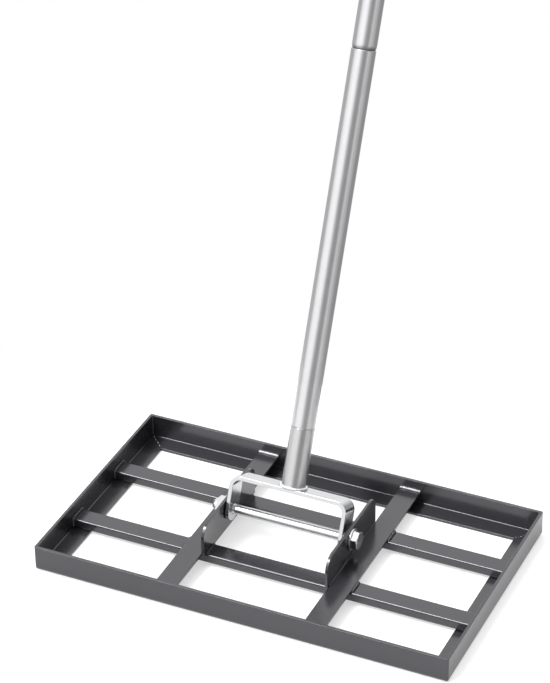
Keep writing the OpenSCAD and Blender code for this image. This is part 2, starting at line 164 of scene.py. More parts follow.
def add_piece(name, mesh, material, body, slot, *nodes):
    """Links a mesh as a piece, gives it its finish and lets it ride on a body for some nodes.

    Its flat faces keep their own normals, and only the roundings between them are smooth.
    """
    if material:
        mesh.materials.clear()
        mesh.materials.append(material)
    mesh.polygons.foreach_set("use_smooth", [True] * len(mesh.polygons))
    mesh.set_sharp_from_angle(angle=smooth_up_to)
    piece = bpy.data.objects.new(name, mesh)
    bpy.context.scene.collection.objects.link(piece)
    level = piece.modifiers.new("flat_faces", "WEIGHTED_NORMAL")
    level.keep_sharp = True
    ready = piece.evaluated_get(bpy.context.evaluated_depsgraph_get())
    levelled = bpy.data.meshes.new_from_object(ready)
    levelled.name = name
    piece.modifiers.clear()
    piece.data = levelled
    if nodes:
        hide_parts(*nodes)
    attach(piece, body)


same_point = 0.001 * mm
no_length = 0.0001 * mm


def mesh_of(shape, name):
    """Closes a bmesh's doubles, turns its faces outwards and makes it a mesh."""
    bmesh.ops.remove_doubles(shape, verts=shape.verts, dist=same_point)
    bmesh.ops.dissolve_degenerate(shape, edges=shape.edges, dist=no_length)
    bmesh.ops.recalc_face_normals(shape, faces=shape.faces)
    mesh = bpy.data.meshes.new(name)
    shape.to_mesh(mesh)
    shape.free()
    return mesh


def skin(shape, rings, closed_run=False):
    """Joins rings of points, each a closed loop. The two ends are closed, or meet each other."""
    rows = [[shape.verts.new(p) for p in ring] for ring in rings]
    following = rows[1:] + rows[:1] if closed_run else rows[1:]
    count = len(rows[0])
    for a, b in zip(rows, following):
        for i in range(count):
            shape.faces.new((a[i], a[(i + 1) % count], b[(i + 1) % count], b[i]))
    if not closed_run:
        shape.faces.new(rows[0])
        shape.faces.new(rows[-1])


def rail_section():
    """Points of the bent sheet: (distance in from the outer face, height)."""
    outside = bend_inside + sheet
    return (
        arc(outside, outside, outside, 180, 270, bend_steps)
        + arc(flange - edge_round, edge_round, edge_round, -90, 0, edge_steps)
        + arc(flange - edge_round, sheet - edge_round, edge_round, 0, 90, edge_steps)
        + arc(outside, outside, bend_inside, 270, 180, bend_steps // 2)
        + arc(sheet - top_round, wall_top - top_round, top_round, 0, 90, edge_steps)
        + arc(top_round, wall_top - top_round, top_round, 90, 180, edge_steps)
    )


def rail(name, node, half_run, half_across, turn):
    """A rail on the -Y side, from the middle of one rounded corner to the middle of the next."""
    rings = []
    for end in (-1, 1):
        for angle in corner_turns[::end]:
            lean = math.radians(angle)
            ring = []
            for inward, height in rail_section():
                reach = max(corner_round - inward, 0)
                inset = max(corner_round, inward)
                x = end * (half_run - inset + reach * math.sin(lean))
                y = -(half_across - inset) - reach * math.cos(lean)
                ring.append((x, y, height))
            rings.append(ring)
    shape = bmesh.new()
    skin(shape, rings)
    shape.transform(Matrix.Translation(grid_middle) @ Matrix.Rotation(math.radians(turn), 4, "Z"))
    add_piece(name, mesh_of(shape, name), coat, "frame", "powder_coat", node)


rail("coated_front_rail", "front_rail", half_length, half_width, 0)
rail("coated_right_rail", "right_rail", half_width, half_length, 90)
rail("coated_back_rail", "back_rail", half_length, half_width, 180)
rail("coated_left_rail", "left_rail", half_width, half_length, 270)


# Lengthwise tubes: two lengths of 20 by 10 mm rectangular steel tube with a 1.5 mm wall. They
# lie on the end rails' flanges and are welded to the walls behind them.
tube_wall = 1.5 * mm
tube_round = 2 * mm
tube_round_steps = 6


def rounded_outline(width, height, radius):
    """A rectangle about the middle with round corners."""
    half_w = width / 2 - radius
    half_h = height / 2 - radius
    outline = []
    for side, level, start in ((1, 1, 0), (-1, 1, 90), (-1, -1, 180), (1, -1, 270)):
        outline += arc(side * half_w, level * half_h, radius, start, start + 90, tube_round_steps)
    return outline


def lengthwise_tube(name, node):
    """A tube along the X axis, with its bore open at both ends."""
    low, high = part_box(node)
    middle = (low + high) / 2
    width, height = high.y - low.y, high.z - low.z
    shape = bmesh.new()
    skins = []
    for shrink in (0, tube_wall):
        outline = rounded_outline(width - 2 * shrink, height - 2 * shrink, tube_round - shrink)
        skins.append([[shape.verts.new((x, middle.y + y, middle.z + z)) for y, z in outline]
                      for x in (low.x, high.x)])
    count = len(skins[0][0])
    for i in range(count):
        j = (i + 1) % count
        for near, far in skins:
            shape.faces.new((near[i], near[j], far[j], far[i]))
        for outer, inner in zip(*skins):
            shape.faces.new((outer[i], outer[j], inner[j], inner[i]))
    add_piece(name, mesh_of(shape, name), coat, "frame", "powder_coat", node)


lengthwise_tube("coated_front_tube", "front_tube")
lengthwise_tube("coated_back_tube", "back_tube")


# Cross bars and bracket plates: 3 mm flat steel, cut and punched. The bars lie on the tubes
# from wall to wall, and the plates stand on the tubes beside the bars' inner edges.
plate_edge = 0.45 * mm
plate_edge_steps = 3
sharp_corner = math.radians(35)
same_plane = math.radians(0.5)


def softened(name, node, radius, steps, material, body, slot):
    """A copy of a solid with its sharp edges rounded, which stands for the node."""
    shape = bmesh.new()
    shape.from_mesh(frame["nodes"][node].data)
    bmesh.ops.remove_doubles(shape, verts=shape.verts, dist=same_point)
    bmesh.ops.dissolve_limit(shape, angle_limit=same_plane, verts=shape.verts, edges=shape.edges)
    edges = [e for e in shape.edges if len(e.link_faces) == 2 and e.calc_face_angle() > sharp_corner]
    bmesh.ops.bevel(shape, geom=edges, offset=radius, offset_type="OFFSET", segments=steps,
                    profile=0.5, affect="EDGES", clamp_overlap=True)
    add_piece(name, mesh_of(shape, name), material, body, slot, node)


for side in ("left", "right"):
    for part in ("cross_bar", "bracket"):
        softened(f"coated_{side}_{part}", f"{side}_{part}", plate_edge, plate_edge_steps, coat,
                 "frame", "powder_coat")


# Weld beads: each is laid in one pass and shows its ripples. Those of the frame, tubes and
# plates are under the coat, which stays thin and flecked over the rough metal in the flange
# mitres. Those over the cross bars' ends are left bright.
bead_grey = (0.85, 0.85, 0.86)
bare_grey = (0.75, 0.75, 0.76)
bead_roughness = 0.3
wall_x = half_length - sheet
wall_front = front_low.y + sheet
wall_back = back_high.y - sheet

# A bead's leg is how far it reaches along each of the two faces that it joins. Each drop's
# radius, and how far its centre stands off the two faces, are shares of the leg.
drop_radius = 0.7
stand_off = 0.28
drop_flatness = 0.7
drop_fineness = 3


def bead_metal(name):
    """Bare weld metal with fine scale on it."""
    material, shader, place = new_finish(name, bead_grey, metallic=1, roughness=bead_roughness)
    scale = noise(material, place, scale=420, detail=4, roughness=0.6)
    tint(material, shader, scale, dark=shade(bead_grey, 0.72), light=bead_grey)
    gloss(material, shader, scale, low=bead_roughness - 0.1, high=bead_roughness + 0.15)
    relief(material, shader, scale, strength=0.5, depth=0.2 * mm)
    return material


def flecked(name):
    """Thin powder over rough weld metal, which shows through in flecks."""
    material = powder_coat(name)
    shader = material.node_tree.nodes["Principled BSDF"]
    links = material.node_tree.links
    place = node_in(material, "ShaderNodeTexCoord").outputs["Object"]
    bare = node_in(material, "ShaderNodeMapRange", From_Min=0.5, From_Max=0.57)
    links.new(noise(material, place, scale=620, detail=2, roughness=0.5), bare.inputs["Value"])
    links.new(bare.outputs["Result"], shader.inputs["Metallic"])
    coated = shader.inputs["Base Color"].links[0].from_socket
    tint(material, shader, bare.outputs["Result"], coated, bare_grey)
    return material


bright_bead = bead_metal("bright_weld_metal")
flecked_coat = flecked("thin_powder_on_weld")


def geometry_tree(name, inputs):
    """An empty node tree with a geometry input and output, and named inputs for its sizes."""
    tree = bpy.data.node_groups.new(name, "GeometryNodeTree")
    tree.interface.new_socket("Geometry", in_out="INPUT", socket_type="NodeSocketGeometry")
    for label, kind in inputs.items():
        tree.interface.new_socket(label, in_out="INPUT", socket_type=f"NodeSocket{kind}")
    tree.interface.new_socket("Geometry", in_out="OUTPUT", socket_type="NodeSocketGeometry")
    return tree, tree.nodes.new("NodeGroupInput"), tree.nodes.new("NodeGroupOutput")


def maths(tree, operation, *terms):
    """The result of a maths node on numbers or on other nodes' outputs."""
    step = tree.nodes.new("ShaderNodeMath")
    step.operation = operation
    for socket, term in zip(step.inputs, terms):
        if isinstance(term, (int, float)):
            socket.default_value = term
        else:
            tree.links.new(term, socket)
    return step.outputs["Value"]


def end_in_metal(tree, geometry, given, result):
    """Ends a tree: makes its instances real and gives them their metal."""
    real = tree.nodes.new("GeometryNodeRealizeInstances")
    tree.links.new(geometry, real.inputs["Geometry"])
    metal = tree.nodes.new("GeometryNodeSetMaterial")
    tree.links.new(real.outputs["Geometry"], metal.inputs["Geometry"])
    tree.links.new(given["Metal"], metal.inputs["Material"])
    tree.links.new(metal.outputs["Geometry"], result.inputs["Geometry"])


def bead_tree():
    """Drops of weld metal along a path, one beside the other."""
    tree, start, result = geometry_tree("weld_bead", {
        "Pitch": "Float", "Radius": "Float", "Flatness": "Float", "Unevenness": "Float",
        "Seed": "Int", "Metal": "Material"})
    given = start.outputs
    new, link = tree.nodes.new, tree.links.new
    path = new("GeometryNodeMeshToCurve")
    steps = new("GeometryNodeResampleCurve")
    steps.mode = "LENGTH"
    link(given["Geometry"], path.inputs["Mesh"])
    link(path.outputs["Curve"], steps.inputs["Curve"])
    link(given["Pitch"], steps.inputs["Length"])
    drop = new("GeometryNodeMeshIcoSphere")
    drop.inputs["Subdivisions"].default_value = drop_fineness
    link(given["Radius"], drop.inputs["Radius"])
    along = new("GeometryNodeInputTangent")
    facing = new("FunctionNodeAlignRotationToVector")
    facing.axis = "Z"
    link(along.outputs["Tangent"], facing.inputs["Vector"])
    size = new("FunctionNodeRandomValue")
    link(maths(tree, "SUBTRACT", 1.0, given["Unevenness"]), size.inputs["Min"])
    size.inputs["Max"].default_value = 1.0
    link(given["Seed"], size.inputs["Seed"])
    width = size.outputs["Value"]
    scale = new("ShaderNodeCombineXYZ")
    link(width, scale.inputs["X"])
    link(width, scale.inputs["Y"])
    link(maths(tree, "MULTIPLY", width, given["Flatness"]), scale.inputs["Z"])
    drops = new("GeometryNodeInstanceOnPoints")
    link(steps.outputs["Curve"], drops.inputs["Points"])
    link(drop.outputs["Mesh"], drops.inputs["Instance"])
    link(facing.outputs["Rotation"], drops.inputs["Rotation"])
    link(scale.outputs["Vector"], drops.inputs["Scale"])
    end_in_metal(tree, drops.outputs["Instances"], given, result)
    return tree


def grown(base, tree, settings):
    """Runs a tree on a mesh and returns the plain mesh that it makes."""
    seedling = bpy.data.objects.new(base.name, base)
    bpy.context.scene.collection.objects.link(seedling)
    growth = seedling.modifiers.new("growth", "NODES")
    growth.node_group = tree
    sockets = {s.name: s.identifier for s in tree.interface.items_tree if s.in_out == "INPUT"}
    for label, value in settings.items():
        growth[sockets[label]] = value
    ready = seedling.evaluated_get(bpy.context.evaluated_depsgraph_get())
    mesh = bpy.data.meshes.new_from_object(ready)
    seedling.modifiers.clear()
    bpy.data.objects.remove(seedling)
    return mesh


weld_bead = bead_tree()


def path_mesh(name, paths):
    """Open polylines as the loose edges of one mesh."""
    points = [tuple(p) for path in paths for p in path]
    edges = []
    start = 0
    for path in paths:
        edges += [(start + i, start + i + 1) for i in range(len(path) - 1)]
        start += len(path)
    mesh = bpy.data.meshes.new(name)
    mesh.from_pydata(points, edges, [])
    return mesh


def beads(name, paths_for, material, slot, *nodes, leg, seed, body="frame", pitch=0.42, unevenness=0.2):
    """Rippled beads in place of a node's plain fillets. Their pitch is a share of the leg."""
    mesh = grown(path_mesh(name, paths_for(leg)), weld_bead, {
        "Pitch": leg * pitch, "Radius": leg * drop_radius, "Flatness": drop_flatness,
        "Unevenness": unevenness, "Seed": seed, "Metal": material})
    add_piece(name, mesh, None, body, slot, *nodes)


def tube_paths(leg):
    """Up one side of a tube's end, over its top and down the other side, at all four ends."""
    out = leg * stand_off
    paths = []
    for node in ("front_tube", "back_tube"):
        low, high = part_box(node)
        for side in (-1, 1):
            x = side * (wall_x - out)
            over = [(low.y - out, sheet + leg), (low.y - out, high.z - tube_round)]
            over += arc(low.y + tube_round, high.z - tube_round, tube_round + out, 180, 90, 4)
            over += [(low.y + high.y - y, z) for y, z in reversed(over)]
            paths.append([(x, y, z) for y, z in over])
    return paths


def corner_paths(leg):
    """Up each inside corner of the frame."""
    out = leg * stand_off
    paths = []
    for side in (-1, 1):
        for end in (-1, 1):
            x, y = side * (wall_x - out), grid_middle.y + end * (half_width - sheet - out)
            paths.append([(x, y, sheet + bend_inside), (x, y, wall_top - corner_round)])
    return paths


def mitre_paths(leg):
    """Along the mitre between two flanges, from the walls' corner almost to the opening's."""
    near = bend_inside + leg
    far = flange - sheet - 1.2 * leg
    paths = []
    for side in (-1, 1):
        for end in (-1, 1):
            path = []
            for inward in (near, far):
                x, y = side * (wall_x - inward), grid_middle.y + end * (half_width - sheet - inward)
                path.append((x, y, sheet))
            paths.append(path)
    return paths


def bar_end_paths(leg):
    """Across the top of each cross bar's two ends."""
    out = leg * stand_off
    paths = []
    for node in ("left_cross_bar", "right_cross_bar"):
        low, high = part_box(node)
        for y in (wall_front + out, wall_back - out):
            paths.append([(x, y, high.z + out) for x in (low.x + leg / 3, high.x - leg / 3)])
    return paths


def crossing_paths(leg):
    """Beside each cross bar's outer edge, on top of the two tubes."""
    out = leg * stand_off
    paths = []
    for bar, side in (("left_cross_bar", -1), ("right_cross_bar", 1)):
        low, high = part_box(bar)
        x = (low.x if side < 0 else high.x) + side * out
        for tube in ("front_tube", "back_tube"):
            near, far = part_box(tube)
            paths.append([(x, y, far.z + out) for y in (near.y + tube_round, far.y - tube_round)])
    return paths


def bracket_paths(leg):
    """Inside each plate on both tubes, and outside it along the cross bar, where it is smaller."""
    out = leg * stand_off
    small_out = out * 0.6
    tube_margin = 1 * mm
    bar_margin = 3 * mm
    bar_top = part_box("left_cross_bar")[1].z
    paths = []
    for bracket, side in (("left_bracket", -1), ("right_bracket", 1)):
        low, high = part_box(bracket)
        inner = (high.x if side < 0 else low.x) - side * out
        outer = (low.x if side < 0 else high.x) + side * small_out
        for tube in ("front_tube", "back_tube"):
            near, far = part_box(tube)
            start = max(near.y + tube_round, low.y + tube_margin)
            end = min(far.y - tube_round, high.y - tube_margin)
            paths.append([(inner, y, far.z + out) for y in (start, end)])
        paths.append([(outer, y, bar_top + small_out) for y in (low.y + bar_margin, high.y - bar_margin)])
    return paths


beads("tube_end_beads", tube_paths, coat, "coated_weld", "tube_welds", leg=2.4 * mm, seed=3)
beads("corner_beads", corner_paths, coat, "coated_weld", "corner_welds", leg=1.7 * mm, seed=5)
beads("mitre_beads", mitre_paths, flecked_coat, "coated_weld",
      leg=1.5 * mm, seed=6, pitch=1.6, unevenness=0.7)
beads("bar_end_beads", bar_end_paths, bright_bead, "bright_weld", "cross_bar_welds", leg=2.5 * mm, seed=7)
beads("crossing_beads", crossing_paths, coat, "coated_weld", "crossing_welds", leg=2.4 * mm, seed=11)
beads("bracket_beads", bracket_paths, coat, "coated_weld", "bracket_welds", leg=1.6 * mm, seed=13)


# Pivot bolt, washers and lock nut: bright zinc-plated M10 hardware. The long bolt goes through
# both plates and the yoke from the right, and a nut with a collar holds it on the left.
zinc_grey = (0.58, 0.585, 0.595)
pivot = Vector(frame["joints"][0]["pos_m"])
bolt_radius = 5 * mm
thread_pitch = 1.5 * mm
thread_depth = 0.75 * mm
rings_in_pitch = 6
thread_sides = 36
small_turning = 48


def zinc_plate(name, colour, roughness):
    """Plated or oxidised steel, with soft clouds and fine rub marks."""
    material, shader, place = new_finish(name, colour, metallic=1, roughness=roughness)
    cloud = noise(material, place, scale=90, detail=5, roughness=0.62)
    rub = noise(material, place, scale=900, detail=3, roughness=0.6)
    tint(material, shader, cloud, dark=shade(colour, 0.9), light=colour)
    gloss(material, shader, cloud, low=roughness - 0.04, high=roughness + 0.06)
    relief(material, shader, rub, strength=0.08, depth=0.05 * mm)
    return material


zinc = zinc_plate("bright_zinc", zinc_grey, roughness=0.2)


def thread_tree():
    """A threaded rod: a round bar whose skin follows a helix of V grooves."""
    tree, start, result = geometry_tree("screw_thread", {
        "Length": "Float", "Radius": "Float", "Pitch": "Float", "Depth": "Float", "Metal": "Material"})
    given = start.outputs
    new, link = tree.nodes.new, tree.links.new
    sums = partial(maths, tree)
    axis = new("GeometryNodeCurvePrimitiveLine")
    top = new("ShaderNodeCombineXYZ")
    link(given["Length"], top.inputs["Z"])
    link(top.outputs["Vector"], axis.inputs["End"])
    rings = new("GeometryNodeResampleCurve")
    rings.mode = "LENGTH"
    link(axis.outputs["Curve"], rings.inputs["Curve"])
    link(sums("DIVIDE", given["Pitch"], rings_in_pitch), rings.inputs["Length"])
    round_bar = new("GeometryNodeCurvePrimitiveCircle")
    round_bar.inputs["Resolution"].default_value = thread_sides
    link(given["Radius"], round_bar.inputs["Radius"])
    bar = new("GeometryNodeCurveToMesh")
    bar.inputs["Fill Caps"].default_value = True
    link(rings.outputs["Curve"], bar.inputs["Curve"])
    link(round_bar.outputs["Curve"], bar.inputs["Profile Curve"])
    place = new("ShaderNodeSeparateXYZ")
    link(new("GeometryNodeInputPosition").outputs["Position"], place.inputs["Vector"])
    x, y, z = place.outputs
    turn = sums("DIVIDE", sums("ARCTAN2", y, x), 2 * math.pi)
    phase = sums("FRACT", sums("ADD", sums("DIVIDE", z, given["Pitch"]), turn))
    groove = sums("MULTIPLY", sums("ABSOLUTE", sums("SUBTRACT", phase, 0.5)), 2.0)
    shrink = sums("DIVIDE", sums("MULTIPLY", groove, given["Depth"]), given["Radius"])
    keep = sums("SUBTRACT", 1.0, shrink)
    moved = new("ShaderNodeCombineXYZ")
    link(sums("MULTIPLY", x, keep), moved.inputs["X"])
    link(sums("MULTIPLY", y, keep), moved.inputs["Y"])
    link(z, moved.inputs["Z"])
    cut = new("GeometryNodeSetPosition")
    link(bar.outputs["Mesh"], cut.inputs["Geometry"])
    link(moved.outputs["Vector"], cut.inputs["Position"])
    end_in_metal(tree, cut.outputs["Geometry"], given, result)
    return tree


screw_thread = thread_tree()


def thread(length, material):
    """A threaded bar up the Z axis as a bmesh."""
    mesh = grown(bpy.data.meshes.new("thread"), screw_thread, {
        "Length": length, "Radius": bolt_radius, "Pitch": thread_pitch, "Depth": thread_depth,
        "Metal": material})
    shape = bmesh.new()
    shape.from_mesh(mesh)
    bmesh.ops.remove_doubles(shape, verts=shape.verts, dist=no_length)
    return shape


def turned(shape, profile, segments):
    """Adds a turned solid about the Z axis from its closed outline of (radius, height) points."""
    rings = []
    for i in range(segments):
        a = 2 * math.pi * i / segments
        rings.append([(max(r, 0) * math.cos(a), max(r, 0) * math.sin(a), z) for r, z in profile])
    skin(shape, rings, closed_run=True)


def added(shape, other, matrix=None):
    """Adds one bmesh to another, moved by a matrix."""
    if matrix:
        other.transform(matrix)
    passing = bpy.data.meshes.new("passing")
    other.to_mesh(passing)
    other.free()
    shape.from_mesh(passing)
    bpy.data.meshes.remove(passing)


# The corners of a hexagon are turned off at a slope, from a round top a bit smaller than its flats
hex_flats = 17 * mm
hex_steps = 72
hex_slope = math.radians(30)
hex_top_share = 0.96
hex_rim_drop = 0.16 * mm


def hexagon(shape, low, high):
    """Adds a hexagonal prism up the Z axis whose corners are turned off at its upper end."""
    flat = hex_flats / 2
    sixth = math.pi / 3
    foot, rim, top = [], [], []
    for i in range(hex_steps):
        a = 2 * math.pi * i / hex_steps
        off_middle = (a + sixth / 2) % sixth - sixth / 2
        reach = flat / math.cos(off_middle)
        rim_height = high - (reach - flat) * math.tan(hex_slope) - hex_rim_drop
        x, y = math.cos(a), math.sin(a)
        foot.append((reach * x, reach * y, low))
        rim.append((reach * x, reach * y, rim_height))
        top.append((flat * hex_top_share * x, flat * hex_top_share * y, high))
    skin(shape, (foot, rim, top))


def pivot_bolt(name, node):
    """A thread, a plain shank and a head, with one flat of the head to the front."""
    thread_run = 24 * mm
    run_out = 0.4 * mm
    low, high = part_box(node)
    head_height = high.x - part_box("head_washer")[1].x
    shank = high.x - head_height - low.x
    shape = bmesh.new()
    turned(shape, [
        (0, thread_run), (bolt_radius - 0.05 * mm, thread_run), (bolt_radius, thread_run + run_out),
        (bolt_radius, shank), (bolt_radius + run_out, shank), (0, shank)
    ], small_turning)
    added(shape, thread(thread_run + run_out / 2, zinc))
    hexagon(shape, shank, shank + head_height)
    shape.transform(Matrix.Rotation(math.radians(30), 4, "Z"))
    seat = Matrix.Translation((low.x, pivot.y, pivot.z))
    shape.transform(seat @ Matrix.Rotation(math.radians(90), 4, "Y"))
    add_piece(name, mesh_of(shape, name), zinc, "frame", "zinc", node)


def lock_nut(name, node):
    """A hexagon towards the plate and a turned collar on its outer side."""
    low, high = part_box(node)
    height = high.x - low.x
    collar_height = 2.52 * mm
    bore = 5.05 * mm
    in_hexagon = 1 * mm
    # (radius, depth below the nut's outer end), from the bore round the outside and back
    collar = [
        (bore, collar_height + in_hexagon), (6.9 * mm, collar_height + in_hexagon), (6.97 * mm, 0.9 * mm),
        (6.7 * mm, 0.25 * mm), (6.3 * mm, 0), (5.6 * mm, 0.1 * mm), (bore, 0.5 * mm)]
    shape = bmesh.new()
    turned(shape, [(radius, height - depth) for radius, depth in collar], small_turning)
    hexagon(shape, 0, height - collar_height)
    seat = Matrix.Translation((high.x, pivot.y, pivot.z))
    shape.transform(seat @ Matrix.Rotation(math.radians(-90), 4, "Y"))
    add_piece(name, mesh_of(shape, name), zinc, "frame", "zinc", node)


washer_edge = 0.35 * mm
washer_edge_steps = 3
pivot_bolt("zinc_pivot_bolt", "pivot_bolt")
for node in ("head_washer", "nut_washer"):
    softened(f"zinc_{node}", node, washer_edge, washer_edge_steps, zinc, "frame", "zinc")
lock_nut("zinc_lock_nut", "lock_nut")


# Yoke: a 24 by 4 mm flat steel bar, bent twice, punched for the bolt and plated, with rounded
# edges. The pole's socket is welded on top of it.
yoke_edge = 0.9 * mm
yoke_edge_steps = 4
softened("zinc_yoke", "yoke", yoke_edge, yoke_edge_steps, zinc, "handle", "zinc")


# Pole: steel tube of 24 mm with a drawn, satin finish. A socket stands on the yoke, and three
# like sections are screwed together on it, each with its drawn-in neck down in the mouth below.
pole_grey = (0.61, 0.61, 0.62)
socket_grey = (0.52, 0.52, 0.525)
satin = 0.3
pole_lean = math.radians(23)
handle_x = sum(corner.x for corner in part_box("pole_socket")) / 2
upright = Matrix.Translation((handle_x, pivot.y, pivot.z)) @ Matrix.Rotation(-pole_lean, 4, "X")
pole_radius = 12 * mm
pole_wall = 1 * mm
yoke_reach = 36 * mm
socket_length = 61 * mm
socket_top = yoke_reach + socket_length
section_names = ("lower", "middle", "upper")
section_length = 370 * mm
neck_depth = 21 * mm
neck_mouth = 10.9 * mm
neck_end = 10.2 * mm
neck_step = 0.6 * mm
shoulder_foot = 11 * mm
shoulder = 5 * mm
shoulder_steps = 8
lip_steps = 6
pole_turning = 72

# The lowest section sits closer in its mouth, with a short shoulder and no ring of painted shade at its
# foot
lowest_shoulder_foot = 11.45 * mm
lowest_shoulder = 0.5 * mm
# Painted shade: the other sections get a dark ring painted into their colour at the foot, where the
# joint's gap and dim reflection are
joint_shade_ring = 4 * mm
no_joint_shade = 0.02 * mm


def drawn_steel(name, colour, ring):
    """Lengthwise draw lines, and a dark ring of painted shade at the foot of each section, if it has one.
    """
    material, shader, place = new_finish(name, colour, metallic=1, roughness=satin)
    links = material.node_tree.links
    along = node_in(material, "ShaderNodeMapping")
    along.inputs["Location"].default_value = -(Matrix.Rotation(pole_lean, 3, "X") @ pivot)
    along.inputs["Rotation"].default_value = (pole_lean, 0, 0)
    links.new(place, along.inputs["Vector"])
    stretch = node_in(material, "ShaderNodeMapping")
    stretch.inputs["Scale"].default_value = (1, 1, 0.012)
    links.new(along.outputs["Vector"], stretch.inputs["Vector"])
    lines = noise(material, stretch.outputs["Vector"], scale=2600, detail=3, roughness=0.65)
    cloud = noise(material, along.outputs["Vector"], scale=60, detail=4, roughness=0.6)
    height = node_in(material, "ShaderNodeSeparateXYZ")
    links.new(along.outputs["Vector"], height.inputs["Vector"])
    above = maths(material.node_tree, "SUBTRACT", height.outputs["Z"], socket_top - section_length)
    in_section = maths(material.node_tree, "MODULO", above, section_length)
    # Painted shade: the colour darkens to a third at each section's foot and fades back over the ring's
    # height
    unshaded = node_in(material, "ShaderNodeMapRange", From_Min=ring * 0.2, From_Max=ring)
    links.new(in_section, unshaded.inputs["Value"])
    worn = blended(material, cloud, shade(colour, 0.92), colour)
    tint(material, shader, unshaded.outputs["Result"], shade(colour, 0.3), worn)
    gloss(material, shader, lines, low=satin - 0.07, high=satin + 0.09)
    relief(material, shader, lines, strength=0.12, depth=0.05 * mm)
    return material


pole_steel = drawn_steel("satin_drawn_tube", pole_grey, joint_shade_ring)
lowest_steel = drawn_steel("satin_lowest_tube", pole_grey, no_joint_shade)
socket_steel = drawn_steel("satin_socket_tube", socket_grey, no_joint_shade)


def turned_piece(name, profile, material, slot, node):
    """A turned piece of the handle, from an outline measured up the pole from the pivot."""
    shape = bmesh.new()
    turned(shape, profile, pole_turning)
    shape.transform(upright)
    add_piece(name, mesh_of(shape, name), material, "handle", slot, node)


def mouth(top):
    """The rounded lip of a tube's mouth, from its outside to its bore."""
    lip = pole_wall / 2
    return arc(pole_radius - lip, top - lip, lip, 0, 180, lip_steps)


def pole_section(name, node, foot, step_radius, rise, material):
    """A section from its neck's end up to its mouth, with a rounded shoulder above its foot."""
    outside = [(neck_end, foot - neck_depth), (neck_mouth, foot - neck_step), (step_radius, foot)]
    for i in range(1, shoulder_steps + 1):
        share = i / shoulder_steps
        swell = (pole_radius - step_radius) * math.sin(share * math.pi / 2)
        outside.append((step_radius + swell, foot + rise * share))
    bore = [
        (pole_radius - pole_wall, foot + shoulder), (neck_mouth - pole_wall, foot),
        (neck_end - pole_wall, foot - neck_depth)]
    turned_piece(name, outside + mouth(foot + section_length) + bore, material, "pole_steel", node)


socket_foot = [(pole_radius - pole_wall, yoke_reach), (pole_radius, yoke_reach)]
turned_piece("satin_socket", socket_foot + mouth(socket_top), socket_steel, "pole_steel", "pole_socket")
pole_section("satin_lower_pole", "lower_pole", socket_top,
             lowest_shoulder_foot, lowest_shoulder, lowest_steel)
for index in (1, 2):
    name = section_names[index]
    foot = socket_top + index * section_length
    pole_section(f"satin_{name}_pole", f"{name}_pole", foot, shoulder_foot, shoulder, pole_steel)


# Studs and threaded inserts: each section's neck is plugged by a dark M10 stud, which screws
# into a turned steel insert in the piece below. They are hidden while the pole is together.
stud_grey = (0.16, 0.16, 0.17)
insert_grey = (0.55, 0.55, 0.56)
stud_plug = 10 * mm
stud_length = 19 * mm
stud_steel = zinc_plate("oxidised_stud", stud_grey, roughness=0.5)
insert_steel = zinc_plate("turned_insert", insert_grey, roughness=0.38)


def stud(name, node, foot):
    """A tapered plug in a section's neck, and the thread that hangs below it."""
    plug_low = neck_end - pole_wall
    plug_high = plug_low + (neck_mouth - neck_end) * stud_plug / neck_depth
    shape = bmesh.new()
    plug = [(0, foot), (plug_low, foot), (plug_high, foot + stud_plug), (0, foot + stud_plug)]
    turned(shape, plug, small_turning)
    added(shape, thread(stud_length, stud_steel), Matrix.Translation((0, 0, foot - stud_length)))
    shape.transform(upright)
    add_piece(name, mesh_of(shape, name), stud_steel, "handle", "black_stud", node)


for index, name in enumerate(section_names):
    neck_foot = socket_top + index * section_length - neck_depth
    stud(f"oxidised_{name}_stud", f"{name}_pole_stud", neck_foot)


def finish_solid(node, material):
    """Gives a solid that shows as it is its finish."""
    materials = frame["nodes"][node].data.materials
    materials.clear()
    materials.append(material)


for node in ("socket_insert", "lower_pole_insert", "middle_pole_insert"):
    finish_solid(node, insert_steel)


# Bead round the socket's foot: one bright ring of weld. The socket is as wide as the yoke's bar,
# so the ring hangs over the bar's front and back edges.
def socket_ring(leg):
    """Round the socket's foot, on top of the yoke."""
    out = leg * stand_off
    circle = arc(0, 0, pole_radius + out, 0, 350, 70)
    return [[upright @ Vector((x, y, yoke_reach + out)) for x, y in circle]]


beads("socket_foot_bead", socket_ring, bright_bead, "bright_weld", "socket_weld_bead",
      leg=2.5 * mm, seed=17, body="handle")


# Grip section: a thinner drawn tube, plugged at its foot by a ribbed grey plastic plug that
# goes down into a collar, and drawn in at its top, where a soft dark grip is pushed over it.
collar_flange = 2 * mm
grip_foot = socket_top + len(section_names) * section_length + collar_flange
grip_pole_length = 417 * mm
grip_seat = grip_foot + grip_pole_length
grip_taper = 22 * mm
grip_taper_steps = 12
taper_foot = grip_seat - grip_taper
grip_radius = 10.25 * mm
foot_round = 0.2 * mm
foot_rise = 0.3 * mm
tail_radius = 7.75 * mm
tail_length = 82 * mm


def moulded(name, dark, light, roughness, pores):
    """Moulded plastic with fine pores, given as how many there are to the metre."""
    material, shader, place = new_finish(name, light, metallic=0, roughness=roughness)
    grain = node_in(material, "ShaderNodeTexVoronoi", Scale=pores)
    material.node_tree.links.new(place, grain.inputs["Vector"])
    cloud = noise(material, place, scale=70, detail=4, roughness=0.6)
    tint(material, shader, cloud, dark, light)
    gloss(material, shader, cloud, low=roughness - 0.08, high=roughness + 0.08)
    relief(material, shader, grain.outputs["Distance"], strength=0.3, depth=0.1 * mm)
    return material


plug_plastic = moulded(
    "grey_plug_plastic", dark=(0.14, 0.14, 0.145), light=(0.22, 0.22, 0.225), roughness=0.5, pores=1400)
grip_plastic = moulded(
    "dark_grip_plastic", dark=(0.05, 0.05, 0.053), light=(0.085, 0.085, 0.09), roughness=0.58, pores=1100)

